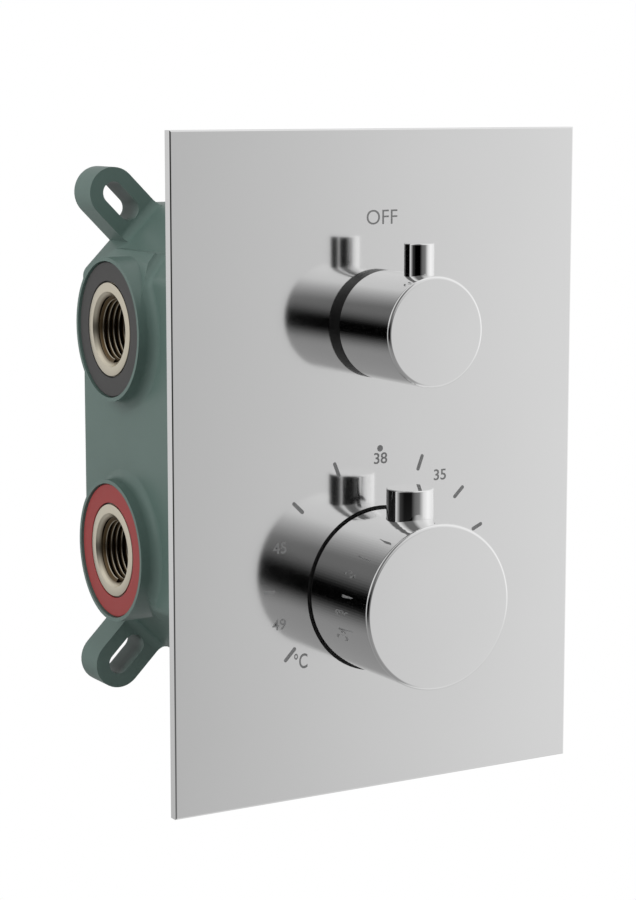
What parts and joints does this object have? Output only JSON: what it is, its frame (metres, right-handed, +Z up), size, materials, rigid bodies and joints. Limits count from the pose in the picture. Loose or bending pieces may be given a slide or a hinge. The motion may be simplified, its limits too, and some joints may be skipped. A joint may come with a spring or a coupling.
{
  "type": "concealed thermostatic shower valve",
  "caption": "Concealed shower valve: moulded box with side ports, brass mixing body, chrome face plate, a flow knob with a pin and a temperature knob with an override button.",
  "frame": {"origin": "middle of the housing's back face, which seats on the wall", "axes": "+X to the right seen from the front, +Y into the wall, +Z up"},
  "size_m": [0.14, 0.1348, 0.1999],
  "materials": {
    "polished_chrome": "polished",
    "plate_chrome": "polished, slightly soft reflections",
    "green_moulding": "satin moulded plastic",
    "turned_brass": "machined and lightly dulled",
    "cast_brass": "cast, machined at the seats",
    "grey_rubber": "matt moulded rubber",
    "red_rubber": "matt moulded rubber",
    "blue_rubber": "matt moulded rubber",
    "black_rubber": "smooth rubber",
    "black_plastic": "satin moulded plastic",
    "white_plastic": "smooth moulded plastic",
    "foam_gasket": "closed-cell foam",
    "spring_steel": "drawn wire",
    "stainless_steel": "turned",
    "zinc_steel": "zinc plated",
    "ceramic": "lapped ceramic",
    "copper": "drawn copper"
  },
  "bodies": {
    "housing": {"housing_box": "green_moulding", "valve_body": "cast_brass", "body_screws": "zinc_steel", "hot_port_nipple": "turned_brass", "cold_port_nipple": "turned_brass", "left_outlet_nipple": "turned_brass", "right_outlet_nipple": "turned_brass", "nipple_seals": "black_rubber", "hot_marker_ring": "red_rubber", "cold_marker_ring": "blue_rubber", "left_outlet_ring": "grey_rubber", "right_outlet_ring": "grey_rubber", "hot_check_housing": "white_plastic", "cold_check_housing": "white_plastic", "hot_check_spring": "spring_steel", "cold_check_spring": "spring_steel", "inlet_strainers": "stainless_steel", "temperature_cartridge": "turned_brass", "temperature_cartridge_nut": "turned_brass", "temperature_cartridge_seals": "black_rubber", "return_spring": "spring_steel", "cartridge_end_cap": "white_plastic", "flow_cartridge": "turned_brass", "flow_cartridge_nut": "turned_brass", "flow_cartridge_seal": "black_rubber", "fixed_disc": "ceramic", "disc_base": "white_plastic", "base_seals": "black_rubber", "flow_sleeve": "turned_brass", "temperature_sleeve": "turned_brass", "sleeve_seals": "black_rubber", "face_plate": "plate_chrome", "plate_gasket": "foam_gasket", "flow_collar": "black_plastic", "knob_seal": "black_rubber", "temperature_stop_ring": "white_plastic"},
    "flow_control": {"flow_knob": "polished_chrome", "flow_pin": "polished_chrome", "flow_extension": "turned_brass", "flow_grub_screw": "stainless_steel", "flow_spindle": "turned_brass", "disc_carrier": "white_plastic", "moving_disc": "ceramic"},
    "temperature_control": {"temperature_knob": "polished_chrome", "temperature_extension": "turned_brass", "temperature_grub_screw": "stainless_steel", "temperature_spindle": "turned_brass", "button_spring": "spring_steel"},
    "override_button": {"override_button": "polished_chrome"},
    "regulator": {"regulator_sleeve": "black_plastic", "overload_spring": "spring_steel", "overload_clip": "spring_steel"},
    "overload_cup": {"overload_cup": "stainless_steel", "wax_piston": "stainless_steel"},
    "shuttle": {"wax_element": "copper", "mixing_shuttle": "white_plastic"},
    "hot_check_poppet": {"hot_check_poppet": "white_plastic"},
    "cold_check_poppet": {"cold_check_poppet": "white_plastic"}
  },
  "joints": [
    {"name": "flow_turn", "type": "hinge", "parent": "housing", "child": "flow_control", "pos_m": [0, -0.12, 0.04015], "axis": [0, 1, 0], "range_deg": [-90, 90]},
    {"name": "temperature_turn", "type": "hinge", "parent": "housing", "child": "temperature_control", "pos_m": [0, -0.12, -0.04015], "axis": [0, 1, 0], "range_deg": [-118, 66]},
    {"name": "override_press", "type": "slide", "parent": "temperature_control", "child": "override_button", "axis": [0, 0, -1], "range_m": [0, 0.003], "stiffness_N_per_m": 800, "springref_m": -0.002, "deforming": ["button_spring"]},
    {"name": "regulator_feed", "type": "slide", "parent": "housing", "child": "regulator", "axis": [0, 1, 0], "range_m": [-0.0009, 0.0005]},
    {"name": "overload_travel", "type": "slide", "parent": "regulator", "child": "overload_cup", "axis": [0, -1, 0], "range_m": [0, 0.001], "stiffness_N_per_m": 2000, "springref_m": -0.001, "deforming": ["overload_spring"]},
    {"name": "shuttle_travel", "type": "slide", "parent": "overload_cup", "child": "shuttle", "axis": [0, 1, 0], "range_m": [-0.0006, 0.0006], "stiffness_N_per_m": 1500, "deforming": ["return_spring"]},
    {"name": "hot_check_lift", "type": "slide", "parent": "housing", "child": "hot_check_poppet", "axis": [1, 0, 0], "range_m": [0, 0.0022], "stiffness_N_per_m": 60, "springref_m": -0.001, "deforming": ["hot_check_spring"]},
    {"name": "cold_check_lift", "type": "slide", "parent": "housing", "child": "cold_check_poppet", "axis": [-1, 0, 0], "range_m": [0, 0.0022], "stiffness_N_per_m": 60, "springref_m": -0.001, "deforming": ["cold_check_spring"]}
  ],
  "couplings": [
    {"joint": "regulator_feed", "follows": "temperature_turn", "m_per_rad": 0.00039789}
  ]
}
